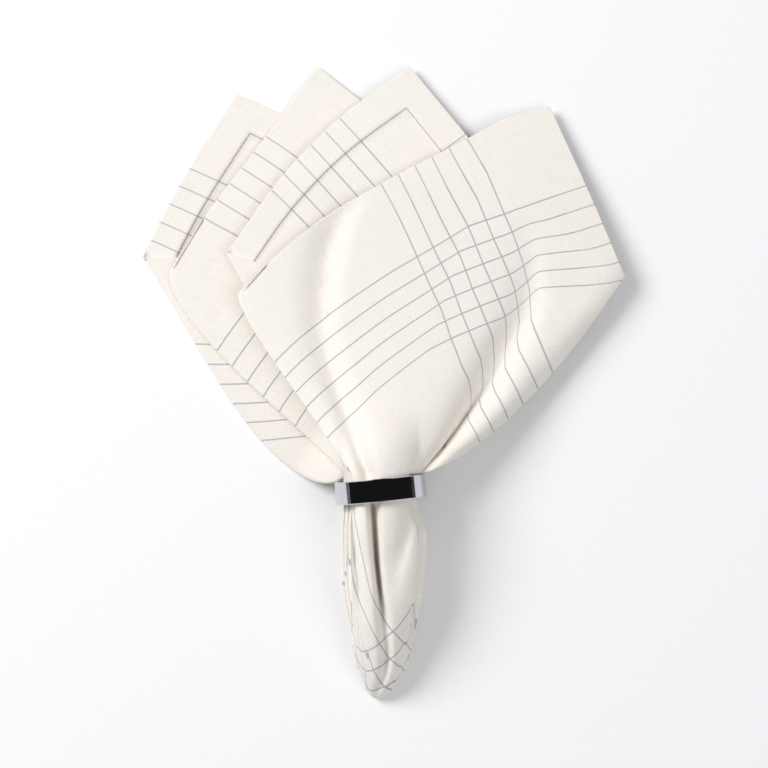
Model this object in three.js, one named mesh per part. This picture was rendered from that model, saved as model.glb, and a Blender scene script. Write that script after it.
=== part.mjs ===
// A square napkin folded in four and drawn through a round metal ring.
// The cloth lies on a table: its closed centre is the tail, its four hemmed corners fan out.
// Units are millimetres. +Y runs towards the corners, +Z is up, and the table is z = 0.
import * as THREE from 'three';

// Driving sizes
const napkinSide = 500;
const clothThickness = 1;
const ringDiameter = 50;
const ringWall = 1.5;
const ringBand = 12.5;
const ringTurn = 5.6;
const ringFlat = 0.3;
const ringRim = 0.4;
const ringSteps = 64;
const ringPlace = { x: -1.5, y: -57.5 };

// The cloth at the ring: how much of each ray of cloth lies below the ring's middle,
// and how far the cloth runs straight on both sides of that middle.
const tailLength = 116;
const straightLength = 9;
const topLayer = 9;
const layerPitch = 1.42;
const boreHeight = 20.6;
const boreWidth = 22.4;
const boreSide = 20.5;

// Above the ring the bundle opens into a mound, which fades to a flat stack of layers.
// Past the inner folds only the four corners are left, and they sink to the table.
const moundHeight = 32;
const moundFade = 46;
const mouthReach = { start: 10, end: 50 };
const cornerReach = { start: 166, end: 232 };
const cornerStack = 0.42;

// Below the ring the bundle opens into a rounded tail. A valley takes at most this share of it.
const tailOpening = 40;
const tailWidth = 23.5;
const tailWidthLength = 88;
const tailSideShare = 0.82;
const tailTurnEnd = 92;
const bundleHalfWidth = 20;
const deepestValley = 0.35;

// A bowed ray leaves its straight line in one soft bump; the power sets how soft.
const bowPower = 1.7;

// Folds, in order round the cloth's centre. A row is one crease, corner or point of the hem.
// bearing: its direction from the centre of the flat cloth, in degrees.
// layer and next: its layer before and after the fold, counted up from the table.
// ringX: its place across the ring. hemX and hemY: where its ray meets the hem.
// bow and bowAt: how far its ray bends sideways, and where along its length.
const named = (columnNames) => (row) => Object.fromEntries(row.map((value, k) => [columnNames[k], value]));
const foldColumns = ['name', 'bearing', 'layer', 'next', 'ringX', 'hemX', 'hemY', 'bow', 'bowAt'];
const foldRows = [
  ['front right fold', 31, 8, 9, 16, 132.3, 59, 14.3, 0.38],
  ['front right hem', 37.5, 9, 9, 12, 115.5, 99, 5, 0.4],
  ['front corner', 45, 9, 9, 7, 91.5, 152.3, 0, 0.4],
  ['front hem, by the corner', 48.2, 9, 9, 4.5, 66, 145.5, 0, 0.4],
  ['front hem, first line', 51, 9, 9, 2, 46, 134.5, 0, 0.4],
  ['front hem, middle', 59, 9, 9, -4, 1, 111, 0, 0.4],
  ['front hem, valley', 68, 9, 9, -9, -41, 85, 0, 0.4],
  ['front hem, left', 73, 9, 9, -12.5, -60, 69, -3, 0.7],
  ['front left fold', 77.6, 9, 8, -16.5, -75, 53, -8, 0.85],
  ['upper left tuck', 95.9, 8, 7, -10.5, -17, 50, 0, 0.4],
  ['second left fold', 113, 7, 6, -18.5, -86, 72, 0, 0.4],
  ['second left hem', 123, 6, 6, -14, -52, 118, 0, 0.4],
  ['second hem, first line', 129, 6, 6, -9, -24, 146, 0, 0.4],
  ['second corner', 135, 6, 6, -3, 14.5, 174.5, 0, 0.4],
  ['second right hem', 144, 6, 6, 5, 58, 121, 0, 0.4],
  ['second right fold', 155.4, 6, 5, 12, 97, 70, 0, 0.4],
  ['right tuck', 180, 5, 4, 0, 1, 76, 0, 0.4],
  ['third right fold', 204.6, 4, 3, 12, 70, 89, 0, 0.4],
  ['third right hem', 214.5, 3, 3, 5, 25, 126, 0, 0.4],
  ['third corner', 225, 3, 3, -3, -36, 174.5, 0, 0.4],
  ['third hem, first line', 233, 3, 3, -9, -73, 125, 0, 0.4],
  ['third left hem', 239, 3, 3, -14, -96, 95, -3, 0.8],
  ['third left fold', 244.8, 3, 2, -20, -114, 66, -13, 0.76],
  ['lower left tuck', 273.5, 2, 1, -3, -6, 67, 0, 0.4],
  ['back left fold', 300.7, 1, 0, -17, -132.5, 70, -21, 0.3],
  ['back left hem', 308, 0, 0, -13, -110.5, 112.5, -10, 0.25],
  ['back corner', 315, 0, 0, -7, -80.5, 159.5, -3, 0.25],
  ['back right hem', 325, 0, 0, 2, -13, 128, 0, 0.4],
  ['back hem, middle', 338, 0, 0, 10, 53, 86, 2, 0.4],
  ['back right fold', 352.5, 0, 7, 15.5, 94, 39, 4, 0.4],
  ['upper right tuck', 373.2, 7, 8, 7, 39, 67, 0, 0.4],
];
const folds = foldRows.map(named(foldColumns));

// Valleys in the front layer, each followed from the fan towards the ring, or down the tail.
// left and right are its widths on either side of its line.
const valleyColumns = ['y', 'x', 'depth', 'left', 'right'];
const valleyTables = {
  'front, from the hem to the ring': [
    [104, -20, 0, 16, 10], [88, -24, 1.5, 16, 10], [73, -27.5, 2, 16, 10], [51, -30.5, 2.2, 16, 10],
    [33, -31.5, 2, 14, 10], [15, -29, 2, 12, 10], [-3, -24, 3, 11, 10], [-21, -18, 4, 9, 9],
    [-36, -13.5, 5, 7, 7], [-50, -8.5, 6, 6, 6], [-57, -7, 7, 6, 6], [-67, -6, 9, 6, 6],
    [-96, -3.5, 11, 6.5, 6.5], [-118, -1.5, 9, 6.5, 6.5], [-140, 0.5, 5, 6, 6],
    [-158, 0.5, 2, 6, 6], [-172, -1, 0, 6, 6],
  ],
  'front, right of the middle roll': [
    [84, 70, 0, 18, 18], [60, 77, 0.5, 18, 18], [38, 73, 1, 18, 18], [13, 57, 1.5, 18, 16],
    [0, 50, 1.8, 16, 14], [-13, 43, 2, 14, 12], [-24, 35.5, 2, 12, 10], [-36, 28, 2, 9, 9],
    [-47, 21.5, 1.5, 8, 8], [-60, 16, 1, 8, 8], [-80, 12, 0, 8, 8],
  ],
};
const valleySharpness = 2.2;
const valleys = Object.values(valleyTables).map((table) => table.map(named(valleyColumns)));

// Small tools
const mix = (a, b, share) => a + (b - a) * share;
const clamp01 = (value) => Math.min(1, Math.max(0, value));
const smooth = (low, high, value) => {
  const share = clamp01((value - low) / (high - low));
  return share * share * (3 - 2 * share);
};
const radians = (degrees) => (degrees * Math.PI) / 180;

// Half the width of the tail and its full height, at a distance from its tip.
const roundedEnd = (share, power) => (1 - (1 - clamp01(share)) ** 2) ** power;
const tailHalfWidth = (fromTip) => tailWidth * roundedEnd(fromTip / tailWidthLength, 0.6);
const tailHeight = (fromTip) => 2 * boreHeight * roundedEnd(fromTip / tailLength, 0.62);
// How far the folds have formed, from a plain round tip to the folded bundle.
const foldShare = (fromTip) => smooth(26, 64, fromTip);
// The plain round tip: the angle round it at which some folds lie, from the right side
// over the top. The columns between them are spread evenly.
const tipAngles = {
  'front right fold': 42,
  'front left fold': 122,
  'right tuck': 180,
  'back left fold': 238,
  'back right fold': 346,
};
// The middle of the tail swings a little as it goes down: its place at the tip, below and above.
const tailSwing = { tip: -3, low: -0.9, high: 0.7 };
const tailMiddle = (fromTip) => {
  const below = mix(tailSwing.tip, tailSwing.low, smooth(0, 14, fromTip));
  const above = mix(below, tailSwing.high, smooth(40, 85, fromTip));
  return mix(above, ringPlace.x, smooth(tailTurnEnd, tailLength, fromTip));
};

// A valley's x, depth and widths at y, from its table.
function valleyAt(rows, y) {
  if (y >= rows[0].y) return rows[0];
  for (let k = 1; k < rows.length; k += 1) {
    if (y >= rows[k].y) {
      const share = (y - rows[k].y) / (rows[k - 1].y - rows[k].y);
      return {
        x: mix(rows[k].x, rows[k - 1].x, share),
        depth: mix(rows[k].depth, rows[k - 1].depth, share),
        left: mix(rows[k].left, rows[k - 1].left, share),
        right: mix(rows[k].right, rows[k - 1].right, share),
      };
    }
  }
  return rows[rows.length - 1];
}

// How far the valleys press the cloth down at a place.
function valleyDepth(x, y) {
  let depth = 0;
  for (const rows of valleys) {
    const at = valleyAt(rows, y);
    const across = (x - at.x) / (x < at.x ? at.left : at.right);
    depth += at.depth * Math.exp(-valleySharpness * across * across);
  }
  return depth;
}

// The lowest and highest middle surface of the stack of layers, at a place.
// Inside the ring it is a round bundle, above it a mound that sinks to a flat stack,
// below it a rounded tail that sinks to the tip.
function stackAt(x, y) {
  const floorHeight = clothThickness / 2;
  const ringMiddle = ringDiameter / 2 - ringFlat;
  const up = y - ringPlace.y;
  const across = x - ringPlace.x;
  const round = Math.sqrt(1 - (Math.min(Math.abs(across), boreSide) / boreWidth) ** 2);
  const flatTop = floorHeight + topLayer * layerPitch;
  let low;
  let high;
  if (up > 0) {
    const reach = Math.hypot(across, up);
    const away = smooth(mouthReach.start, mouthReach.end, reach);
    const mound = moundHeight * Math.exp(-(reach - straightLength) / moundFade);
    low = mix(ringMiddle - boreHeight * round, floorHeight, away);
    high = mix(ringMiddle + boreHeight * round, flatTop + mound, away);
    const sunk = mix(floorHeight, high, cornerStack);
    high = mix(high, sunk, smooth(cornerReach.start, cornerReach.end, reach));
  } else {
    const fromTip = tailLength + up;
    const away = smooth(straightLength, tailOpening, -up);
    const halfWidth = tailHalfWidth(fromTip) + clothThickness;
    const aside = Math.min(tailSideShare, Math.abs(x - tailMiddle(fromTip)) / halfWidth);
    const tailRound = Math.sqrt(1 - aside ** 2);
    const middle = mix(ringMiddle, tailHeight(fromTip) / 2 + floorHeight, away);
    const half = mix(boreHeight * round, (tailHeight(fromTip) / 2) * tailRound, away);
    low = Math.max(middle - half, floorHeight);
    high = middle + half;
  }
  high -= Math.min(valleyDepth(x, y), deepestValley * (high - low));
  return { low, high };
}

// How far a row of the net is from the tail's tip, measured along a fold's ray of cloth.
function distanceAt(fold, row) {
  const straightEnd = tailLength + straightLength;
  return row.share === undefined ? row.distance : mix(straightEnd, fold.length, row.share);
}

// The path of a fold seen from above: from the tail's tip through the ring to the hem.
function planAt(fold, row, tipAngle) {
  const fromTip = distanceAt(fold, row);
  if (row.share === undefined && fromTip > tailLength) {
    return { x: ringPlace.x + fold.ringX, y: ringPlace.y - tailLength + fromTip };
  }
  if (row.share === undefined) {
    const across = mix(Math.cos(tipAngle), fold.ringX / bundleHalfWidth, foldShare(fromTip));
    const tailX = tailMiddle(fromTip) + tailHalfWidth(fromTip) * across;
    return {
      x: mix(tailX, ringPlace.x + fold.ringX, smooth(tailTurnEnd, tailLength - straightLength, fromTip)),
      y: ringPlace.y - tailLength + fromTip,
    };
  }
  const start = { x: ringPlace.x + fold.ringX, y: ringPlace.y + straightLength };
  const share = row.share;
  const reachX = fold.hemX - start.x;
  const reachY = fold.hemY - start.y;
  const chord = Math.hypot(reachX, reachY);
  const bump = (s) => s ** (bowPower * fold.bowAt) * (1 - s) ** (bowPower * (1 - fold.bowAt));
  const bow = (fold.bow * bump(share)) / bump(fold.bowAt);
  return {
    x: start.x + reachX * share + (reachY / chord) * bow,
    y: start.y + reachY * share - (reachX / chord) * bow,
  };
}

// Each ray's length on the flat cloth.
for (const fold of folds) {
  const turn = Math.abs(((fold.bearing + 45) % 90) - 45);
  fold.length = napkinSide / 2 / Math.cos(radians(turn));
}

// The columns of the cloth's net: fold rows, with a rounded turn at each fold
// and steps between them.
const turnSteps = 3;
const turnRadius = 2;
const turnShare = 0.18;
const tallTurnSteps = 5;
const tallTurnBulge = 4.5;
const stepsFor = (gap) => {
  if (gap > 16) return 4;
  return gap > 12 ? 3 : 2;
};
const columns = [];
folds.forEach((fold, k) => {
  const previous = folds[(k + folds.length - 1) % folds.length];
  const following = folds[(k + 1) % folds.length];
  const gap = (following.bearing - fold.bearing + 360) % 360;
  if (fold.layer === fold.next) {
    columns.push({ from: fold, to: fold, share: 0, layer: fold.layer });
  } else {
    const tall = Math.abs(fold.next - fold.layer) > 1;
    const turns = tall ? tallTurnSteps : turnSteps;
    for (let turn = 0; turn < turns; turn += 1) {
      const share = turn / (turns - 1);
      const angle = Math.PI * (share - 0.5);
      columns.push({
        from: fold,
        to: share < 0.5 ? previous : following,
        share: 0,
        inward: 1 - Math.cos(angle),
        tall,
        layer: mix(fold.layer, fold.next, (1 + Math.sin(angle)) / 2),
        anchor: share === 0.5 ? tipAngles[fold.name] : undefined,
      });
    }
  }
  const steps = stepsFor(gap);
  for (let step = 1; step < steps; step += 1) {
    const share = step / steps;
    columns.push({ from: fold, to: following, share, layer: fold.next });
  }
});

// Each column's angle round the plain tip, spread evenly between the anchored folds.
const anchors = columns.map((column, k) => k).filter((k) => columns[k].anchor !== undefined);
anchors.forEach((start, n) => {
  const last = n === anchors.length - 1;
  const end = last ? anchors[0] + columns.length : anchors[n + 1];
  const endAngle = last ? columns[anchors[0]].anchor + 360 : columns[end].anchor;
  for (let k = start; k < end; k += 1) {
    const angle = mix(columns[start].anchor, endAngle, (k - start) / (end - start));
    columns[k % columns.length].tipAngle = radians(angle);
  }
});

// One point of the cloth's middle surface.
function clothPoint(column, row) {
  const a = planAt(column.from, row, column.tipAngle);
  const b = planAt(column.to, row, column.tipAngle);
  const formed = foldShare(distanceAt(column.from, row));
  let x = mix(a.x, b.x, column.share);
  let y = mix(a.y, b.y, column.share);
  if (column.inward) {
    const stack = stackAt(a.x, a.y);
    const pitch = (stack.high - stack.low) / topLayer;
    const gap = Math.hypot(b.x - a.x, b.y - a.y) || 1;
    const radius = Math.min(turnRadius, pitch / 2);
    const reach = column.tall
      ? (-tallTurnBulge * (1 - column.inward)) / gap
      : Math.min((radius * column.inward) / gap, turnShare);
    x = mix(a.x, b.x, reach * formed);
    y = mix(a.y, b.y, reach * formed);
  }
  const tipLayer = (topLayer * (1 + Math.sin(column.tipAngle))) / 2;
  const layer = mix(tipLayer, column.layer, formed);
  const stack = stackAt(x, y);
  return new THREE.Vector3(x, y, mix(stack.low, stack.high, layer / topLayer));
}

// Rows of the net: at set distances from the tip as far as the ring's end,
// then at shares of what is left of each ray.
const tailDistances = [3, 8, 15, 24, 34, 44, 54, 66, 80, 94, 105, 125];
const fanRows = 14;
const fanCrowding = 1.35;
const rows = tailDistances.map((distance) => ({ distance }));
for (let step = 1; step <= fanRows; step += 1) {
  rows.push({ share: (step / fanRows) ** fanCrowding });
}

// How far the tip's point lies past the first row: of the outer face, then of the inner one.
const tipReach = [3.6, 2.2];

// A closed sheet round a middle surface: an outer and an inner face, joined along the hem,
// each closed at the tail's tip.
function sheetGeometry(net, thickness) {
  const rowCount = net.length;
  const count = net[0].length;
  const positions = [];
  const indices = [];
  const normalAt = (i, j) => {
    const before = net[Math.max(i - 1, 0)][j];
    const after = net[Math.min(i + 1, rowCount - 1)][j];
    const left = net[i][(j + count - 1) % count];
    const right = net[i][(j + 1) % count];
    const around = right.clone().sub(left);
    const along = after.clone().sub(before);
    return around.cross(along).normalize();
  };
  for (const side of [-1, 1]) {
    net.forEach((line, i) => {
      line.forEach((point, j) => {
        const moved = point.clone().addScaledVector(normalAt(i, j), (side * thickness) / 2);
        positions.push(moved.x, moved.y, moved.z);
      });
    });
  }
  const faceSize = rowCount * count;
  const at = (face, i, j) => face * faceSize + i * count + (j % count);
  for (let i = 0; i < rowCount - 1; i += 1) {
    for (let j = 0; j < count; j += 1) {
      const outer = [at(0, i, j), at(0, i, j + 1), at(0, i + 1, j + 1), at(0, i + 1, j)];
      const inner = [at(1, i, j), at(1, i, j + 1), at(1, i + 1, j + 1), at(1, i + 1, j)];
      indices.push(outer[0], outer[2], outer[1], outer[0], outer[3], outer[2]);
      indices.push(inner[0], inner[1], inner[2], inner[0], inner[2], inner[3]);
    }
  }
  for (let j = 0; j < count; j += 1) {
    const last = rowCount - 1;
    const corners = [at(0, last, j), at(0, last, j + 1), at(1, last, j + 1), at(1, last, j)];
    indices.push(corners[0], corners[2], corners[1], corners[0], corners[3], corners[2]);
  }
  const tip = new THREE.Vector3();
  net[0].forEach((point) => tip.add(point));
  tip.divideScalar(count);
  for (const face of [0, 1]) {
    const apex = positions.length / 3;
    const reach = tipReach[face];
    positions.push(tip.x, tip.y - reach, tip.z);
    for (let j = 0; j < count; j += 1) {
      const pair = face === 0 ? [at(face, 0, j), at(face, 0, j + 1)] : [at(face, 0, j + 1), at(face, 0, j)];
      indices.push(apex, pair[0], pair[1]);
    }
  }
  const geometry = new THREE.BufferGeometry();
  geometry.setAttribute('position', new THREE.Float32BufferAttribute(positions, 3));
  geometry.setIndex(indices);
  geometry.computeVertexNormals();
  return geometry;
}

// Where the folds are still forming, each loop of the net is eased towards a smooth one.
const easePasses = 4;
function easeLoop(loop, row) {
  if (row.share !== undefined) return loop;
  const ease = 0.5 * (1 - foldShare(row.distance));
  const count = loop.length;
  let eased = loop;
  for (let pass = 0; pass < easePasses; pass += 1) {
    const before = eased;
    eased = before.map((point, j) => {
      const middle = before[(j + 1) % count].clone().lerp(before[(j + count - 1) % count], 0.5);
      return point.clone().lerp(middle, ease);
    });
  }
  return eased;
}

function makeNapkin() {
  const net = rows.map((row) => easeLoop(columns.map((column) => clothPoint(column, row)), row));
  const material = new THREE.MeshStandardMaterial({ color: 0xf1ebe3, roughness: 0.95, metalness: 0 });
  const napkin = new THREE.Mesh(sheetGeometry(net, clothThickness), material);
  napkin.name = 'napkin';
  return napkin;
}

// The ring is a band turned about its own axis, with eased rims.
// Its lowest points are pressed up to a small flat, so that it stands still on the table.
function makeRing() {
  const outside = ringDiameter / 2;
  const inside = outside - ringWall;
  const half = ringBand / 2;
  const ease = ringRim;
  const profile = [
    [inside + ease, -half], [outside - ease, -half], [outside, -half + ease], [outside, half - ease],
    [outside - ease, half], [inside + ease, half], [inside, half - ease], [inside, -half + ease],
    [inside + ease, -half],
  ].map(([radius, height]) => new THREE.Vector2(radius, height));
  const geometry = new THREE.LatheGeometry(profile, ringSteps);
  geometry.rotateY(Math.PI / ringSteps);
  const points = geometry.getAttribute('position');
  const flatLevel = outside - ringFlat;
  for (let k = 0; k < points.count; k += 1) {
    if (points.getZ(k) < -flatLevel) points.setZ(k, -flatLevel);
  }
  const material = new THREE.MeshStandardMaterial({ color: 0xc9cbd0, roughness: 0.08, metalness: 1 });
  const ring = new THREE.Mesh(geometry, material);
  ring.name = 'ring';
  ring.position.set(ringPlace.x, ringPlace.y, flatLevel);
  ring.rotation.set(0, 0, radians(ringTurn));
  return ring;
}

const model = new THREE.Group();
model.add(makeNapkin(), makeRing());
export default model;
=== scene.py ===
# %% [markdown]
# # A napkin drawn through a ring
#
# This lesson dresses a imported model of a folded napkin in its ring. The model holds two solids,
# a thin sheet in its folded form and a round band. Here the sheet becomes fine cloth with a hem,
# woven lines and stitching, and the band becomes polished chrome.
#
# Everything is in metres once it is in a mesh. The sums are done in millimetres, because a hem
# of 17 mm is easier to read than one of 0.017 m.

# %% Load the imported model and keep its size
import bpy
import numpy as np
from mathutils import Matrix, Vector


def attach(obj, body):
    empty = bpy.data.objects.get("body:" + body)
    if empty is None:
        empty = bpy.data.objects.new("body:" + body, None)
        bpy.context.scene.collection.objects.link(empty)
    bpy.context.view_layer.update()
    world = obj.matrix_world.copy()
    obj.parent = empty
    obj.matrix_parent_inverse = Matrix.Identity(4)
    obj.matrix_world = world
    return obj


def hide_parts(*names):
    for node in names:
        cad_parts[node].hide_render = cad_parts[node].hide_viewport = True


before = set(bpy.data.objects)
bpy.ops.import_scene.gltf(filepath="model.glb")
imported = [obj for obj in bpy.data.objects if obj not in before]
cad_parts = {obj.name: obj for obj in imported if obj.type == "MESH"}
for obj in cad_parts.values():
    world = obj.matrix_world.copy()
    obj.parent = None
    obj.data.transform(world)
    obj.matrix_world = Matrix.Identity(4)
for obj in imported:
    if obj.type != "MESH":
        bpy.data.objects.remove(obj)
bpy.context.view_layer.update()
MM = 0.001
print("packed nodes:", sorted(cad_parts))

# %% [markdown]
# ## The camera
#
# The picture was taken from straight above. A long lens far away keeps the upright sides of
# the ring and the mound of cloth from leaning outwards. At the height of the cloth one pixel of
# the picture is 0.548 mm, because the napkin's half diagonal of 353.6 mm spans about 640 pixels.

# %% Place the camera
PICTURE_PIXELS = 768
MM_PER_PIXEL = 0.548
PICTURE_CENTRE = (383.5, 384.0)
CLOTH_HEIGHT = 12.0
CAMERA_HEIGHT = 2600.0
SENSOR_MM = 36.0


def place_camera():
    """The lens is sensor width times distance, divided by the width that the picture covers."""
    data = bpy.data.cameras.new("camera")
    camera = bpy.data.objects.new("camera", data)
    bpy.context.collection.objects.link(camera)
    covered = PICTURE_PIXELS * MM_PER_PIXEL
    data.sensor_width = SENSOR_MM
    data.lens = SENSOR_MM * (CAMERA_HEIGHT - CLOTH_HEIGHT) / covered
    data.clip_end = 20.0
    middle_x = (PICTURE_PIXELS / 2 - PICTURE_CENTRE[0]) * MM_PER_PIXEL
    camera.location = (middle_x * MM, 0.0, CAMERA_HEIGHT * MM)
    bpy.context.scene.camera = camera
    print("lens in mm:", round(data.lens, 1))


place_camera()

# %% [markdown]
# ## Folding the cloth
#
# A napkin is a flat square. Folded in four and drawn through a ring, its closed centre becomes
# the tail and its four corners fan out. We could drape it with a cloth simulation, but a
# simulation doesn't know which corner lies on which. So the fold is drawn from a table that
# follows some rays of thread from the centre of the cloth, down to the ring and on to the hem.
#
# Each row is one ray: a crease, a corner or a point of the hem. `bearing` is its direction on the
# flat cloth, `layer` and `next` are its layers before and after it, counted up from the table.
# `ring_x` is its place across the ring, `hem_x` and `hem_y` are where it ends, and `bow` and
# `bow_at` say how far the ray bends sideways, and where.

# %% The rays of the fold
CLOTH_SIDE = 500.0
RING_PLACE = (-1.5, -57.5)
RING_DIAMETER = 50.0
RING_FLAT = 0.3
TAIL_LENGTH = 116.0
STRAIGHT_LENGTH = 9.0
TOP_LAYER = 9

RAY_COLUMNS = ("bearing", "layer", "next", "ring_x", "hem_x", "hem_y", "bow", "bow_at")
RAYS = {
    "front right fold": (31, 8, 9, 16, 132.3, 59, 14.3, 0.38),
    "front right hem": (37.5, 9, 9, 12, 115.5, 99, 5, 0.4),
    "front corner": (45, 9, 9, 7, 91.5, 152.3, 0, 0.4),
    "front hem, by the corner": (48.2, 9, 9, 4.5, 66, 145.5, 0, 0.4),
    "front hem, first line": (51, 9, 9, 2, 46, 134.5, 0, 0.4),
    "front hem, middle": (59, 9, 9, -4, 1, 111, 0, 0.4),
    "front hem, valley": (68, 9, 9, -9, -41, 85, 0, 0.4),
    "front hem, left": (73, 9, 9, -12.5, -60, 69, -3, 0.7),
    "front left fold": (77.6, 9, 8, -16.5, -75, 53, -8, 0.85),
    "upper left tuck": (95.9, 8, 7, -10.5, -17, 50, 0, 0.4),
    "second left fold": (113, 7, 6, -18.5, -86, 72, 0, 0.4),
    "second left hem": (123, 6, 6, -14, -52, 118, 0, 0.4),
    "second hem, first line": (129, 6, 6, -9, -24, 146, 0, 0.4),
    "second corner": (135, 6, 6, -3, 14.5, 174.5, 0, 0.4),
    "second right hem": (144, 6, 6, 5, 58, 121, 0, 0.4),
    "second right fold": (155.4, 6, 5, 12, 97, 70, 0, 0.4),
    "right tuck": (180, 5, 4, 0, 1, 76, 0, 0.4),
    "third right fold": (204.6, 4, 3, 12, 70, 89, 0, 0.4),
    "third right hem": (214.5, 3, 3, 5, 25, 126, 0, 0.4),
    "third corner": (225, 3, 3, -3, -36, 174.5, 0, 0.4),
    "third hem, first line": (233, 3, 3, -9, -73, 125, 0, 0.4),
    "third left hem": (239, 3, 3, -14, -96, 95, -3, 0.8),
    "third left fold": (244.8, 3, 2, -20, -114, 66, -13, 0.76),
    "lower left tuck": (273.5, 2, 1, -3, -6, 67, 0, 0.4),
    "back left fold": (300.7, 1, 0, -17, -132.5, 70, -23, 0.24),
    "back left hem": (308, 0, 0, -13, -110.5, 112.5, -10, 0.25),
    "back corner": (315, 0, 0, -7, -80.5, 159.5, -3, 0.25),
    "back right hem": (325, 0, 0, 2, -13, 128, 0, 0.4),
    "back hem, middle": (338, 0, 0, 10, 53, 86, 2, 0.4),
    "back right fold": (352.5, 0, 7, 15.5, 94, 39, 4, 0.4),
    "upper right tuck": (373.2, 7, 8, 7, 39, 67, 0, 0.4),
}
ray_names = list(RAYS)
rays = {name: np.array([row[k] for row in RAYS.values()], float) for k, name in enumerate(RAY_COLUMNS)}
FOLDS = np.flatnonzero(rays["layer"] != rays["next"])
print("rays:", len(ray_names), "of which folds:", len(FOLDS))

# %% [markdown]
# The plain tip of the tail is a round cone. Some folds are pinned to an angle round it, and the
# other columns are spread evenly between them, so that no two run into each other.

# %% Small tools and the tail's plain tip
TIP_ANGLES = {
    "front right fold": 42,
    "front left fold": 122,
    "right tuck": 180,
    "back left fold": 238,
    "back right fold": 346,
}


def mix(a, b, share):
    """a where share is 0, b where it is 1, and a straight line between."""
    return a + (b - a) * share


def smooth(low, high, value):
    """An S-shaped step from 0 at low to 1 at high."""
    share = np.clip((value - low) / (high - low), 0.0, 1.0)
    return share * share * (3.0 - 2.0 * share)


def hump(centre, width, value):
    """A soft bump, 1 at the centre, that fades over the width."""
    return np.exp(-2.2 * ((value - centre) / width) ** 2)


# %% [markdown]
# ## The net's columns
#
# The cloth is a net. Its columns are rays of thread and its rows run round the napkin. Where a
# ray is a fold, several columns make a rounded turn. Between two rays the columns are spread
# evenly along the hem, because the thread spacing of a cloth is even.

# %% Make the columns
TURN_STEPS = 7
TALL_TURN_STEPS = 13
HEM_STEP = 6.4


def along_hem(bearing):
    """How far a bearing's ray meets the hem round the square, from bearing 0."""
    quarter = np.round(np.asarray(bearing) / 90.0)
    return quarter * CLOTH_SIDE + CLOTH_SIDE / 2 * np.tan(np.radians(bearing - quarter * 90.0))


def bearing_of(hem_place):
    """The bearing of the ray that meets the hem at a place: the other way round."""
    quarter = np.round(hem_place / CLOTH_SIDE)
    return quarter * 90.0 + np.degrees(np.arctan((hem_place - quarter * CLOTH_SIDE) / (CLOTH_SIDE / 2)))


def make_columns():
    """One row of values per column: the rays it lies between, its layer and its turn."""
    made = []
    count = len(ray_names)
    for k in range(count):
        after = (k + 1) % count
        bearing = rays["bearing"][k]
        layer, following = rays["layer"][k], rays["next"][k]
        hem = float(along_hem(bearing))
        hem_after = float(along_hem(rays["bearing"][after] + (360.0 if after == 0 else 0.0)))
        if layer == following:
            made.append((k, after, layer, 0.0, 0.0, hem))
        else:
            steps = TALL_TURN_STEPS if abs(following - layer) > 1 else TURN_STEPS
            for angle in np.linspace(-np.pi / 2, np.pi / 2, steps):
                neighbour = (k - 1) % count if angle < 0 else after
                turn_layer = mix(layer, following, (1 + np.sin(angle)) / 2)
                made.append((k, neighbour, turn_layer, 1.0, np.cos(angle), hem))
        steps = max(2, int(round((hem_after - hem) / HEM_STEP)))
        for share in np.arange(1, steps) / steps:
            made.append((k, after, following, 0.0, 0.0, mix(hem, hem_after, share)))
    names = ("ray", "other", "layer", "turn", "inward", "hem")
    table = {name: np.array([row[k] for row in made]) for k, name in enumerate(names)}
    table["ray"] = table["ray"].astype(int)
    table["other"] = table["other"].astype(int)
    table["bearing"] = bearing_of(table["hem"])
    return table


columns = make_columns()
COLUMN_COUNT = len(columns["ray"])
print("columns:", COLUMN_COUNT)

# %% [markdown]
# A column between two rays takes its values from a smooth curve through the rays' values, so that
# a panel has no kinks. The curve starts afresh at each corner and each fold.

# %% Give each column its own ray
PATH_VALUES = ("ring_x", "hem_x", "hem_y", "bow", "bow_at")


def curve_through(places, values, wanted):
    """A cubic between each two points, with slopes taken from the points on either side."""
    slopes = np.gradient(values, places)
    k = np.clip(np.searchsorted(places, wanted, side="right") - 1, 0, len(places) - 2)
    step = places[k + 1] - places[k]
    t = (wanted - places[k]) / step
    rise = values[k] * (1 + 2 * t) * (1 - t) ** 2 + values[k + 1] * t * t * (3 - 2 * t)
    return rise + step * (slopes[k] * t * (1 - t) ** 2 - slopes[k + 1] * t * t * (1 - t))


def column_rays():
    """The rays' values for every column, run by run from one corner or fold to the next."""
    breaks = [k for k, name in enumerate(ray_names) if name.endswith("corner") or k in FOLDS]
    hem = along_hem(np.append(rays["bearing"], rays["bearing"][0] + 360.0))
    found = {name: np.zeros(COLUMN_COUNT) for name in PATH_VALUES}
    for start, end in zip(breaks, breaks[1:] + [len(ray_names)]):
        run = np.arange(start, end + 1)
        inside = (columns["hem"] > hem[start] - 0.01) & (columns["hem"] < hem[end] + 0.01)
        for name, values in found.items():
            points = np.append(rays[name], rays[name][0])[run]
            values[inside] = curve_through(hem[run], points, columns["hem"][inside])
    return found


columns.update(column_rays())


# %% Spread the columns round the tail's tip
def tip_angles():
    """The angle round the tip: pinned at the middle of some folds, even steps between."""
    pins = []
    for name, angle in TIP_ANGLES.items():
        k = ray_names.index(name)
        turning = np.flatnonzero((columns["ray"] == k) & (columns["turn"] > 0))
        pins.append((turning[len(turning) // 2], angle))
    places = np.array([place for place, _ in pins] + [pins[0][0] + COLUMN_COUNT])
    angles = np.array([angle for _, angle in pins] + [pins[0][1] + 360])
    numbers = np.arange(COLUMN_COUNT)
    numbers = np.where(numbers < places[0], numbers + COLUMN_COUNT, numbers)
    return np.radians(np.interp(numbers, places, angles))


columns["tip"] = tip_angles()

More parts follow.
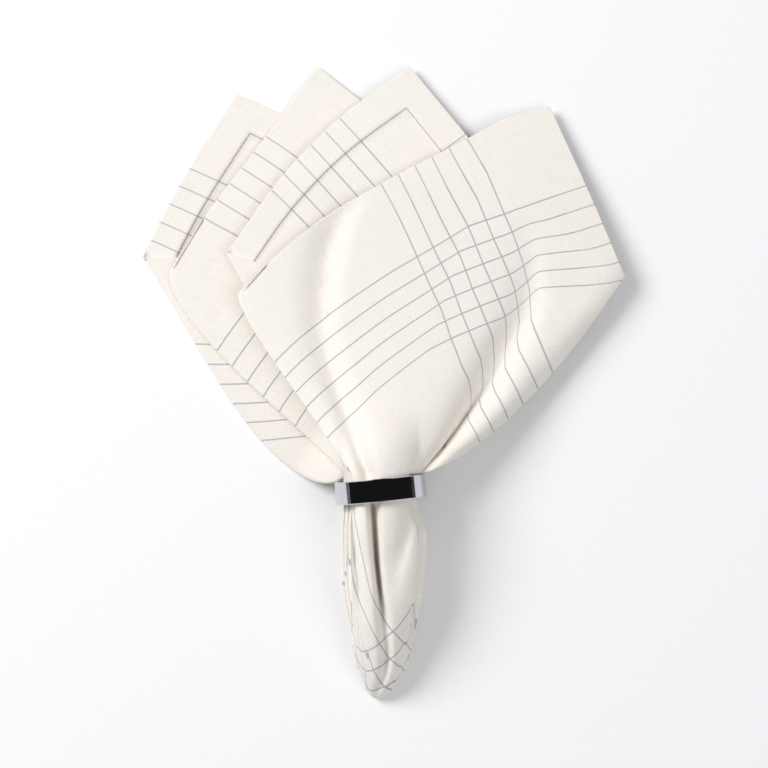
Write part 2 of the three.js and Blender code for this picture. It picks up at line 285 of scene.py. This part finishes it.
# %% [markdown]
# ## The heap of layers
#
# The layers share one lower and one upper envelope: a round bundle inside the ring, a mound that
# opens into a flat fan above it, and a rounded tail below. Layer 0 lies on the lower envelope
# and layer 9 on the upper one, so the layers can't pass through each other.
# Valleys press the upper envelope down, each followed from the fan through the ring to the tail.

# %% The envelopes and the valleys
LOWEST = 0.5
LAYER_PITCH = 1.42
BORE_HEIGHT = 20.6
BORE_WIDTH = 22.4
BORE_SIDE = 20.5
MOUND_HEIGHT = 32.0
MOUND_FADE = 46.0
MOUTH_REACH = (10.0, 50.0)
CORNER_REACH = (166.0, 232.0)
CORNER_STACK = 0.42
TAIL_OPENING = 40.0
TAIL_WIDTH = 23.5
TAIL_WIDTH_LENGTH = 88.0
TAIL_SWING = {"tip": -3.0, "low": -0.9, "high": 0.7}
TAIL_SIDE_SHARE = 0.82
TAIL_ROUNDNESS = 2.6
TAIL_TURN_END = 92.0
BUNDLE_HALF_WIDTH = 20.0
FORMING = (26.0, 64.0)
DEEPEST_VALLEY = 0.72

VALLEY_COLUMNS = ("y", "x", "depth", "left", "right")
VALLEYS = {
    "front, from the hem to the ring": (
        (106, -14, 0, 16, 5), (90, -22, 4.5, 17, 4.5), (73, -27.5, 7, 17, 4.5), (51, -30.5, 7, 17, 5),
        (33, -31.5, 7, 16, 5), (15, -29, 7, 14, 7), (-3, -24, 7, 11, 8), (-21, -18, 7.5, 8, 8),
        (-36, -13.5, 8, 6, 7), (-49, -9, 8, 5, 6), (-57, -7, 0, 5, 6),
    ),
    "front, right of the middle roll": (
        (90, 78, 0, 14, 8), (67, 81, 1.5, 16, 8), (51, 81, 4, 17, 9), (35, 77, 6, 18, 9),
        (19, 67.5, 9, 18, 10), (2, 57.5, 11, 17, 11), (-9, 49.5, 13, 15, 11), (-21, 40.5, 14, 12, 10),
        (-30, 33.5, 14, 9, 9), (-39, 27, 11, 7, 7), (-47, 21, 5, 6, 5), (-56, 18, 0, 6, 5),
    ),
    "roll at the right edge": (
        (74, 138, 0, 12, 40), (60, 134, 2, 8, 40), (42, 124, 4, 9, 40), (29, 113, 5, 10, 40),
        (4, 91, 6, 10, 40), (-14, 75, 6, 9, 40), (-30, 57, 5, 8, 40), (-48, 25, 0, 6, 40),
    ),
    "tail, middle gap": (
        (-57, -6.5, 0, 3.4, 4), (-67, -5.6, 14, 3.4, 3.6), (-96, -3.8, 17, 2.6, 2.6),
        (-118, -1.4, 15, 2.4, 2.4), (-140, 0.7, 11, 2.4, 2.4), (-150, 1.5, 9, 2.6, 2.6),
        (-160, 0, 5, 3, 3), (-168, -3, 2, 3, 3),
        (-174, -6, 0, 3, 3),
    ),
    "tail, left crease": (
        (-57, -17.6, 0, 3, 3), (-67, -17, 6, 3, 2.6), (-80, -16.3, 6.5, 3, 2.6), (-96, -15.3, 6, 3, 2.6),
        (-118, -12.6, 4.5, 3, 3), (-132, -10.5, 0, 3, 4),
    ),
    "tail, right lobe": (
        (-57, 16, 0, 6, 4), (-69, 15.5, 2.5, 8, 4), (-85, 12, 2.5, 8, 5), (-99, 8, 1.6, 8, 6),
        (-116, 5, 0, 8, 6),
    ),
}


def valley_line(name, y):
    """A valley's place, depth and two widths at y, read from its table."""
    rows = dict(zip(VALLEY_COLUMNS, np.array(VALLEYS[name], float)[::-1].T))
    return [np.interp(y, rows["y"], rows[column]) for column in VALLEY_COLUMNS[1:]]


def valley_depth(x, y):
    """The sum of the valleys: each a soft trough, with its own width on either side of its line."""
    depth = np.zeros_like(x)
    for name in VALLEYS:
        middle, deep, left, right = valley_line(name, y)
        depth = depth + deep * hump(middle, np.where(x < middle, left, right), x)
    return depth


def rounded_end(share, power):
    """0 at the tip, rising steeply at first and level at 1, as a rounded end does."""
    return (1.0 - (1.0 - np.clip(share, 0.0, 1.0)) ** 2) ** power


def tail_half_width(from_tip):
    return TAIL_WIDTH * rounded_end(from_tip / TAIL_WIDTH_LENGTH, 0.6)


def tail_height(from_tip):
    return 2 * BORE_HEIGHT * rounded_end(from_tip / TAIL_LENGTH, 0.62)


def tail_middle(from_tip):
    """The middle of the tail swings a little: its place at the tip, below, above, then the ring's."""
    below = mix(TAIL_SWING["tip"], TAIL_SWING["low"], smooth(0, 14, from_tip))
    above = mix(below, TAIL_SWING["high"], smooth(40, 85, from_tip))
    return mix(above, RING_PLACE[0], smooth(TAIL_TURN_END, TAIL_LENGTH, from_tip))


def heap(x, y):
    """The lower and upper envelope at a place: bundle, mound and fan above, rounded tail below."""
    middle_height = RING_DIAMETER / 2 - RING_FLAT
    up = y - RING_PLACE[1]
    across = x - RING_PLACE[0]
    bundle = np.sqrt(1 - (np.minimum(np.abs(across), BORE_SIDE) / BORE_WIDTH) ** 2)
    reach = np.hypot(across, up)
    away = smooth(*MOUTH_REACH, reach)
    mound = MOUND_HEIGHT * np.exp(-(reach - STRAIGHT_LENGTH) / MOUND_FADE)
    fan_low = mix(middle_height - BORE_HEIGHT * bundle, LOWEST, away)
    fan_high = mix(middle_height + BORE_HEIGHT * bundle, LOWEST + TOP_LAYER * LAYER_PITCH + mound, away)
    fan_high = mix(fan_high, mix(LOWEST, fan_high, CORNER_STACK), smooth(*CORNER_REACH, reach))
    from_tip = np.clip(TAIL_LENGTH + up, 0.0, TAIL_LENGTH)
    opening = smooth(STRAIGHT_LENGTH, TAIL_OPENING, -up)
    half_width = tail_half_width(from_tip) + 1.0
    aside = np.minimum(TAIL_SIDE_SHARE, np.abs(x - tail_middle(from_tip)) / half_width)
    middle = mix(middle_height, tail_height(from_tip) / 2 + LOWEST, opening)
    half = mix(BORE_HEIGHT * bundle, tail_height(from_tip) / 2 * np.sqrt(1 - aside**TAIL_ROUNDNESS), opening)
    low = np.where(up > 0, fan_low, np.maximum(middle - half, LOWEST))
    high = np.where(up > 0, fan_high, middle + half)
    high = high - np.minimum(valley_depth(x, y), DEEPEST_VALLEY * (high - low))
    return low, high


print("height of the heap over the ring's middle, mm:",
      np.round(heap(np.array([-1.5]), np.array([-57.4]))[1], 1))

# %% [markdown]
# ## The paths of the rays
#
# Seen from above, each ray runs from the tail's tip straight through the ring, and then in one
# soft bow to its point of the hem. The bow is a bump along the ray, square to its chord.

# %% Work out a ray's path
BOW_POWER = 1.7
HEM_WIDTH = 17.0
RING_END = TAIL_LENGTH + STRAIGHT_LENGTH


def ray_path(ray, share, distance, tip_angle):
    """Plan x and y of rays at distances from the tip; past the ring, share runs from 0 to 1."""
    ring_x = ray["ring_x"]
    across = mix(np.cos(tip_angle), ring_x / BUNDLE_HALF_WIDTH, smooth(*FORMING, distance))
    tail_x = tail_middle(distance) + tail_half_width(distance) * across
    turned = smooth(TAIL_TURN_END, TAIL_LENGTH - STRAIGHT_LENGTH, distance)
    tail_x = mix(tail_x, RING_PLACE[0] + ring_x, turned)
    tail_y = RING_PLACE[1] - TAIL_LENGTH + distance
    start_x = RING_PLACE[0] + ring_x
    start_y = RING_PLACE[1] + STRAIGHT_LENGTH
    reach_x = ray["hem_x"] - start_x
    reach_y = ray["hem_y"] - start_y
    chord = np.hypot(reach_x, reach_y)
    bow_at = ray["bow_at"]

    def bump(at):
        return at ** (BOW_POWER * bow_at) * (1 - at) ** (BOW_POWER * (1 - bow_at))

    bow = ray["bow"] * bump(share) / bump(bow_at)
    fan_x = start_x + reach_x * share + reach_y / chord * bow
    fan_y = start_y + reach_y * share - reach_x / chord * bow
    past = distance > RING_END
    return np.where(past, fan_x, tail_x), np.where(past, fan_y, tail_y)


# %% [markdown]
# The rows are close together at the tip, at the mouth of the ring and at the hem, where the
# cloth bends most. The last rows follow the hem: they lie at a set share of each ray, and on
# a square cloth that is a line parallel to its edge.

# %% Make the rows
TAIL_ROWS = 46
FAN_ROWS = 62
HEM_SHARES = (0.9315, 0.9335, 0.936, 0.942, 0.95, 0.962, 0.975, 0.986, 0.994, 0.998, 1.0)


def make_rows():
    """Distance from the tip along each ray, one line of numbers per row of the net."""
    ray_length = CLOTH_SIDE / 2 / np.cos(np.radians((columns["bearing"] + 45) % 90 - 45))
    tail = RING_END * np.linspace(0.0, 1.0, TAIL_ROWS + 1)[1:] ** 1.15
    before_hem = HEM_SHARES[0] * ray_length
    fan = np.linspace(0.0, 1.0, FAN_ROWS + 1)[1:-1] ** 1.1
    lines = [np.full(COLUMN_COUNT, distance) for distance in tail]
    lines += [mix(RING_END, before_hem, share) for share in fan]
    lines += [share * ray_length for share in HEM_SHARES]
    return np.array(lines), ray_length


distances, ray_length = make_rows()
ROW_COUNT = len(distances)
print("rows:", ROW_COUNT, "quads a side:", ROW_COUNT * COLUMN_COUNT)

# %% [markdown]
# Near the ring the middle roll of the front panel leans over its valley. Only the top layer leans,
# most just left of the valley, and it rises a little as it does.

# %% Let the middle roll hang over its valley
ROLL = "front, right of the middle roll"
LIFT_PER_LEAN = 0.35
ROLL_LEAN = ((20, 0.0), (4, 1.5), (-9, 3.0), (-22, 4.5), (-34, 4.5), (-44, 2.5), (-52, 0.0))


def roll_over(x, y, layer):
    """The top layer left of the valley leans right, most near the valley and not beyond it."""
    middle, _, left, _ = valley_line(ROLL, y)
    table = np.array(ROLL_LEAN)[::-1]
    top = smooth(8.4, 8.9, layer)
    near = smooth(-1.3, -0.35, (x - middle) / left) * (1 - smooth(-3.5, 2.5, x - middle))
    lean = np.interp(y, table[:, 0], table[:, 1]) * near * top
    return lean, lean * LIFT_PER_LEAN


# %% [markdown]
# ## Fold the net
#
# Now every point of the net gets its place. At a fold the columns turn over in a half circle,
# and where the folds only start to form, each row is eased towards a smooth loop.

# %% Fold the cloth
TURN_RADIUS = 2.0
TURN_SHARE = 0.18
TALL_BULGE = 4.5
EASE_PASSES = 24


def fold_cloth():
    """The middle surface of the folded cloth, rows by columns by x, y and z, in millimetres."""
    share = np.clip((distances - RING_END) / (ray_length - RING_END), 0.0, 1.0)
    ax, ay = ray_path(columns, share, distances, columns["tip"])
    other_ray = {name: rays[name][columns["other"]] for name in PATH_VALUES}
    bx, by = ray_path(other_ray, share, distances, columns["tip"])
    formed = smooth(*FORMING, distances)
    low, high = heap(ax, ay)
    gap = np.maximum(np.hypot(bx - ax, by - ay), 0.001)
    radius = np.minimum(TURN_RADIUS, (high - low) / TOP_LAYER / 2)
    inward = 1.0 - columns["inward"]
    pulled = np.minimum(radius * inward / gap, TURN_SHARE)
    tall = np.abs(rays["next"][columns["ray"]] - rays["layer"][columns["ray"]]) > 1
    pulled = np.where(tall, -TALL_BULGE * columns["inward"] / gap, pulled)
    turning = columns["turn"] > 0
    x = np.where(turning, mix(ax, bx, pulled * formed), ax)
    y = np.where(turning, mix(ay, by, pulled * formed), ay)
    tip_layer = TOP_LAYER * (1 + np.sin(columns["tip"])) / 2
    layer = mix(tip_layer, columns["layer"], formed)
    low, high = heap(x, y)
    z = mix(low, high, layer / TOP_LAYER)
    lean, lift = roll_over(x, y, columns["layer"])
    net = np.stack([x + lean * formed, y, z + lift * formed], axis=2)
    ease = 0.5 * (1 - formed)[..., None]
    for _ in range(EASE_PASSES):
        beside = (np.roll(net, 1, axis=1) + np.roll(net, -1, axis=1)) / 2
        net = mix(net, beside, ease)
    return net


net = fold_cloth()
print("cloth runs from", np.round(net.min((0, 1)), 1), "to", np.round(net.max((0, 1)), 1))

# %% [markdown]
# The valley right of the roll swallows some cloth, so right of it the threads come from further
# round the flat square. `SWALLOWED` gives that turn in degrees at distances from the tip.

# %% Find each point's place on the flat cloth
SWALLOWED = ((150, 0.0), (167, 3.6), (180, 5.6), (201, 5.9), (216, 5.8), (228, 5.4), (250, 3.4),
             (275, 1.2), (292, 0.0))


FRONT_FOLD = 31.0
PANEL_END = 62.0
FLAP_START = 13.2


def flat_places():
    """Distance and bearing as u and v, with the bearing turned back beyond the valley."""
    table = np.array(SWALLOWED)
    turn = np.interp(distances, table[:, 0], table[:, 1])
    middle, _, left, right = valley_line(ROLL, net[..., 1])
    beyond = smooth(-0.75, 0.6, (net[..., 0] - middle) / np.where(net[..., 0] < middle, left, right))
    bearing = columns["bearing"]
    panel = (bearing >= FRONT_FOLD) & (bearing < PANEL_END)
    flap = (bearing > FLAP_START + 360) | (bearing < FRONT_FOLD)
    wrapped = np.where(bearing > 180, bearing - 360, bearing)
    on_flap = np.clip((wrapped - FLAP_START) / (FRONT_FOLD - FLAP_START), 0, 1)
    share = np.where(panel, beyond, np.where(flap, on_flap, 0.0))
    turned = np.radians(bearing - turn * share)
    return distances * np.cos(turned), distances * np.sin(turned)


flat_u, flat_v = flat_places()

# %% [markdown]
# ## From a net to a cloth
#
# A sheet has two faces. Each point moves half a thickness along its normal to either side. The
# hem is turned twice onto the wrong side, so it is three cloths thick there, and the step is
# real geometry. The flat place of each point goes into the UV map, and patterns are drawn
# with it, so woven lines bend with the cloth.

# %% Build the mesh
THICKNESS = 0.55
HEM_EXTRA = 0.75


def normals_of(points):
    """Across both directions of the net: the cross product of its differences."""
    around = np.roll(points, -1, axis=1) - np.roll(points, 1, axis=1)
    along = np.gradient(points, axis=0)
    normal = np.cross(along, around)
    return normal / np.maximum(np.linalg.norm(normal, axis=2, keepdims=True), 1e-9)


def hem_room():
    """1 where the hem has its full thickness, less where a valley presses the layers together."""
    low, high = heap(net[..., 0], net[..., 1])
    deep = valley_depth(net[..., 0], net[..., 1])
    return 1.0 - np.clip(2.0 * deep / (high - low + deep), 0.0, 1.0)


def build_napkin():
    """Right side, wrong side, the edge between them, and a cap of triangles at the tip."""
    normal = normals_of(net)
    hem_step = (smooth(0.9315, 0.936, distances / ray_length) * hem_room())[..., None]
    right = net + normal * THICKNESS / 2
    wrong = net - normal * (THICKNESS / 2 + HEM_EXTRA * hem_step)
    tip = net[0].mean(axis=0)
    tips = np.array([tip + (0, -1.0, 0), tip + (0, -0.5, 0)])
    points = np.concatenate([right.reshape(-1, 3), wrong.reshape(-1, 3), tips])
    size = ROW_COUNT * COLUMN_COUNT
    i, j = np.meshgrid(np.arange(ROW_COUNT - 1), np.arange(COLUMN_COUNT), indexing="ij")
    i, j = i.ravel(), j.ravel()
    after = (j + 1) % COLUMN_COUNT
    quad = np.stack([i * COLUMN_COUNT + j, (i + 1) * COLUMN_COUNT + j,
                     (i + 1) * COLUMN_COUNT + after, i * COLUMN_COUNT + after], axis=1)
    j = np.arange(COLUMN_COUNT)
    after = (j + 1) % COLUMN_COUNT
    last = (ROW_COUNT - 1) * COLUMN_COUNT
    edge = np.stack([last + j, size + last + j, size + last + after, last + after], axis=1)
    right_cap = np.stack([np.full(COLUMN_COUNT, 2 * size), j, after], axis=1)
    wrong_cap = np.stack([np.full(COLUMN_COUNT, 2 * size + 1), size + after, size + j], axis=1)
    quads = np.concatenate([quad, (size + quad)[:, ::-1], edge])
    faces = quads.tolist() + right_cap.tolist() + wrong_cap.tolist()
    mesh = bpy.data.meshes.new("napkin_cloth")
    mesh.from_pydata((points * MM).tolist(), [], faces)
    flat = np.stack([flat_u.ravel(), flat_v.ravel()], axis=1)
    flat = np.concatenate([flat, flat, np.zeros((2, 2))]) / CLOTH_SIDE + 0.5
    corner_points = np.zeros(len(mesh.loops), int)
    mesh.loops.foreach_get("vertex_index", corner_points)
    mesh.uv_layers.new(name="flat_cloth").data.foreach_set("uv", flat[corner_points].ravel())
    side = mesh.attributes.new("wrong_side", "FLOAT", "POINT")
    side.data.foreach_set("value", np.concatenate([np.zeros(size), np.ones(size), [0.0, 1.0]]))
    mesh.polygons.foreach_set("use_smooth", np.ones(len(mesh.polygons), bool))
    mesh.update()
    piece = bpy.data.objects.new("napkin_cloth", mesh)
    bpy.context.collection.objects.link(piece)
    return piece


napkin = build_napkin()
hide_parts("napkin")
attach(napkin, "root")
print("napkin faces:", len(napkin.data.polygons))

# %% [markdown]
# ## Tools for materials
#
# Colours are written as web hex values, which are easy to compare with a picture, and turned to
# the linear values that Blender computes with. One small helper adds a node, sets it and links it.

# %% Colour and node helpers


def colour(hex_code):
    """An sRGB hex value as linear red, green, blue and alpha."""
    parts = [int(hex_code[k:k + 2], 16) / 255 for k in (1, 3, 5)]
    linear = [c / 12.92 if c <= 0.04045 else ((c + 0.055) / 1.055) ** 2.4 for c in parts]
    return (*linear, 1.0)


def new_material(name):
    material = bpy.data.materials.new(name)
    material.use_nodes = True
    return material, material.node_tree


def add(tree, kind, settings=None, **inputs):
    """Add a node. Settings are its properties; inputs are sockets by name or number.

    An input that is an output socket is linked, and anything else is set as a value.
    """
    node = tree.nodes.new("ShaderNode" + kind)
    for name, value in (settings or {}).items():
        setattr(node, name, value)
    for name, value in inputs.items():
        socket = node.inputs[int(name[1:])] if name[1:].isdigit() else node.inputs[name.replace("_", " ")]
        if isinstance(value, bpy.types.NodeSocket):
            tree.links.new(value, socket)
        else:
            socket.default_value = value
    return node


def maths(tree, operation, a, b=0.0, c=0.0):
    """One sum on numbers or sockets."""
    return add(tree, "Math", {"operation": operation}, i0=a, i1=b, i2=c).outputs[0]


# %% [markdown]
# ## Cotton and linen cloth
#
# The real cloth is a plain weave of cotton and linen, washed and ironed. It scatters light
# evenly with a faint sheen, its threads are a little uneven, and fine grey-blue threads
# are woven in as groups of six lines each way. Lines that thin could be an image, but drawn
# from the flat place of each point they stay sharp and follow every fold.

# %% Measure the pattern
LINE_FIRST = 202.3
LINE_STEP = 10.98
LINE_COUNT = 6
LINE_WIDTH = 0.68
CENTRE_REACH = 3 * LINE_STEP
THREAD = 1.15

cloth, tree = new_material("woven_cotton_linen")
shader = tree.nodes["Principled BSDF"]
uv = add(tree, "UVMap", {"uv_map": "flat_cloth"}).outputs[0]
parted = add(tree, "SeparateXYZ", i0=uv)
place_u = maths(tree, "MULTIPLY_ADD", parted.outputs[0], CLOTH_SIDE, -CLOTH_SIDE / 2)
place_v = maths(tree, "MULTIPLY_ADD", parted.outputs[1], CLOTH_SIDE, -CLOTH_SIDE / 2)


def in_range(value, low, high):
    """1 where the value lies between low and high."""
    above = maths(tree, "GREATER_THAN", value, low)
    below = maths(tree, "LESS_THAN", value, high)
    return maths(tree, "MULTIPLY", above, below)


def thin_line(gap):
    """1 on a line and 0 beside it, with soft edges, from the distance to the line's middle."""
    return add(tree, "MapRange", {"interpolation_type": "SMOOTHSTEP"},
               i0=gap, i1=LINE_WIDTH * 0.35, i2=LINE_WIDTH * 0.85, i3=1.0, i4=0.0).outputs[0]


def line_group(place):
    """Six lines near the hem on either side, and six across the middle of the cloth."""
    away = maths(tree, "ABSOLUTE", place)
    count = maths(tree, "DIVIDE", maths(tree, "SUBTRACT", LINE_FIRST, away), LINE_STEP)
    nearest = maths(tree, "ROUND", count)
    off_line = maths(tree, "ABSOLUTE", maths(tree, "SUBTRACT", count, nearest))
    outer = thin_line(maths(tree, "MULTIPLY", off_line, LINE_STEP))
    outer_on = in_range(nearest, -0.5, LINE_COUNT - 0.5)
    middle_gap = maths(tree, "PINGPONG", maths(tree, "ADD", away, LINE_STEP / 2), LINE_STEP / 2)
    centre_on = maths(tree, "LESS_THAN", away, CENTRE_REACH)
    return maths(tree, "MAXIMUM", maths(tree, "MULTIPLY", outer, outer_on),
                 maths(tree, "MULTIPLY", thin_line(middle_gap), centre_on))


lines_u = line_group(place_u)
lines_v = line_group(place_v)

# %% [markdown]
# A woven line isn't solid: the thread dips under its neighbours, so it looks like a row of
# dashes. In the hem the cloth is doubled and the dashes show more.

# %% Weave the threads
wave_u = maths(tree, "SINE", maths(tree, "MULTIPLY", place_u, 2 * np.pi / THREAD))
wave_v = maths(tree, "SINE", maths(tree, "MULTIPLY", place_v, 2 * np.pi / THREAD))
weave = maths(tree, "MULTIPLY", wave_u, wave_v)
farthest = maths(tree, "MAXIMUM", maths(tree, "ABSOLUTE", place_u), maths(tree, "ABSOLUTE", place_v))
hem_edge = CLOTH_SIDE / 2 - HEM_WIDTH
in_hem = maths(tree, "GREATER_THAN", farthest, hem_edge)
dash = maths(tree, "MULTIPLY_ADD", in_hem, 0.35, 0.2)
lines = maths(tree, "MAXIMUM", lines_u, lines_v)
gaps = maths(tree, "MULTIPLY_ADD", weave, 0.5, 0.5)
lines = maths(tree, "MULTIPLY", lines, maths(tree, "SUBTRACT", 1.0, maths(tree, "MULTIPLY", gaps, dash)))
cloth_place = add(tree, "CombineXYZ", i0=place_u, i1=place_v, i2=0.0).outputs[0]
along_u = add(tree, "VectorMath", {"operation": "MULTIPLY"}, i0=cloth_place, i1=(0.05, 1.4, 1.0)).outputs[0]
along_v = add(tree, "VectorMath", {"operation": "MULTIPLY"}, i0=cloth_place, i1=(1.4, 0.05, 1.0)).outputs[0]
slub_u = add(tree, "TexNoise", Vector=along_u, Scale=1.0, Detail=2.0).outputs[0]
slub_v = add(tree, "TexNoise", Vector=along_v, Scale=1.0, Detail=2.0).outputs[0]
slubs = maths(tree, "ADD", slub_u, slub_v)

# %% [markdown]
# Colour comes from three things: the cream yarn, a little lighter or darker from thread to
# thread, the grey-blue lines, and the stitch line that holds the hem on the wrong side.

# %% Colour the cloth
CREAM = "#F6F1EB"
CREAM_DARK = "#EBE4D9"
LINE_BLUE = "#8F98A6"
STITCH = "#8B8178"
STITCH_LENGTH = 2.6

yarn = add(tree, "Mix", {"data_type": "RGBA"}, i0=maths(tree, "MULTIPLY_ADD", slubs, 1.1, -0.6),
           i6=colour(CREAM_DARK), i7=colour(CREAM))
lined = add(tree, "Mix", {"data_type": "RGBA"}, i0=maths(tree, "MULTIPLY", lines, 0.78),
            i6=yarn.outputs[2], i7=colour(LINE_BLUE))
wrong_side = add(tree, "Attribute", {"attribute_name": "wrong_side"}).outputs["Fac"]
seam_gap = maths(tree, "ABSOLUTE", maths(tree, "SUBTRACT", farthest, hem_edge + 0.4))
near_seam = maths(tree, "LESS_THAN", seam_gap, 0.42)
stitch_run = maths(tree, "ADD", place_u, place_v)
stitch_place = maths(tree, "FRACT", maths(tree, "DIVIDE", stitch_run, STITCH_LENGTH))
stitch_on = maths(tree, "GREATER_THAN", stitch_place, 0.1)
stitch = maths(tree, "MULTIPLY", maths(tree, "MULTIPLY", near_seam, stitch_on), wrong_side)
stitched = add(tree, "Mix", {"data_type": "RGBA"}, i0=maths(tree, "MULTIPLY", stitch, 0.5),
               i6=lined.outputs[2], i7=colour(STITCH))
tree.links.new(stitched.outputs[2], shader.inputs["Base Color"])
shader.inputs["Roughness"].default_value = 0.92
shader.inputs["Sheen Weight"].default_value = 0.12
shader.inputs["Sheen Roughness"].default_value = 0.6
shader.inputs["Specular IOR Level"].default_value = 0.25

# %% Give the weave its relief
relief = maths(tree, "MULTIPLY_ADD", weave, 0.35, maths(tree, "MULTIPLY", slubs, 0.8))
bump = add(tree, "Bump", i0=0.5, Distance=0.0002, Height=relief)
tree.links.new(bump.outputs[0], shader.inputs["Normal"])
napkin.data.materials.append(cloth)
print("cloth material nodes:", len(tree.nodes))

# %% [markdown]
# ## Polished chrome
#
# The ring is a steel band, plated with chrome and buffed to a mirror. Such a surface has almost
# no colour of its own: what shows is the room, so its look comes from what stands round it.

# %% Polish the ring
chrome, chrome_tree = new_material("polished_chrome")
chrome_shader = chrome_tree.nodes["Principled BSDF"]
chrome_shader.inputs["Base Color"].default_value = colour("#CFD0D6")
chrome_shader.inputs["Metallic"].default_value = 1.0
chrome_shader.inputs["Roughness"].default_value = 0.06
ring_place = add(chrome_tree, "TexCoord").outputs["Object"]
haze = add(chrome_tree, "TexNoise", Vector=ring_place, Scale=900.0, Detail=3.0).outputs[0]
haze_bump = add(chrome_tree, "Bump", i0=0.06, Distance=0.00005, Height=haze)
chrome_tree.links.new(haze_bump.outputs[0], chrome_shader.inputs["Normal"])
ring = bpy.data.objects["ring"]
ring.data.materials.clear()
ring.data.materials.append(chrome)

# %% [markdown]
# ## Floor and light
#
# The floor is plain and pale. Large soft lights make the shading gentle. They are kept out of
# mirror reflections, because in the real picture the ring reflects a dark room above it and the
# pale table at its sides.

# %% Lay the floor
floor_mesh = bpy.data.meshes.new("floor")
floor_mesh.from_pydata([(-3, -3, 0), (3, -3, 0), (3, 3, 0), (-3, 3, 0)], [], [(0, 1, 2, 3)])
floor = bpy.data.objects.new("floor", floor_mesh)
bpy.context.collection.objects.link(floor)
floor.location.z = -0.0003
floor_material, floor_tree = new_material("pale_paper")
floor_shader = floor_tree.nodes["Principled BSDF"]
grain = add(floor_tree, "TexNoise", Vector=add(floor_tree, "TexCoord").outputs["Object"], Scale=300.0)
tint = add(floor_tree, "Mix", {"data_type": "RGBA"}, i0=grain.outputs[0],
           i6=colour("#F6F6F6"), i7=colour("#F9F9F9"))
floor_tree.links.new(tint.outputs[2], floor_shader.inputs["Base Color"])
floor_shader.inputs["Roughness"].default_value = 0.9
floor.data.materials.append(floor_material)

# %% Hang the lights
LIGHTS = {
    "key from the upper left": ((-1.5, 1.0, 1.5), 1.3, 45.0),
    "fill from the right": ((1.3, -0.6, 2.0), 1.8, 14.0),
}


def hang_light(name, place, size, power):
    """A round soft light that looks at the napkin and is left out of mirror reflections."""
    data = bpy.data.lights.new(name, "AREA")
    data.shape = "DISK"
    data.size = size
    data.energy = power
    light = bpy.data.objects.new(name, data)
    light.location = place
    light.rotation_euler = (-Vector(place)).to_track_quat("-Z", "Y").to_euler()
    light.visible_glossy = False
    bpy.context.collection.objects.link(light)


for name, (place, size, power) in LIGHTS.items():
    hang_light(name, place, size, power)

# %% [markdown]
# The room is a soft white dome for the cloth and a dark one for the mirror. Light Path tells the
# world which kind of ray asks for it.

# %% Light the room
ROOM_LIGHT = 0.41
ROOM_IN_MIRROR = 0.012
bpy.context.scene.view_settings.view_transform = "Standard"
world = bpy.data.worlds.new("room")
bpy.context.scene.world = world
world.use_nodes = True
background = world.node_tree.nodes["Background"]
background.inputs["Color"].default_value = colour("#F6F8FC")
mirror_ray = add(world.node_tree, "LightPath").outputs["Is Glossy Ray"]
strength = maths(world.node_tree, "MULTIPLY_ADD", mirror_ray, ROOM_IN_MIRROR - ROOM_LIGHT, ROOM_LIGHT)
world.node_tree.links.new(strength, background.inputs["Strength"])
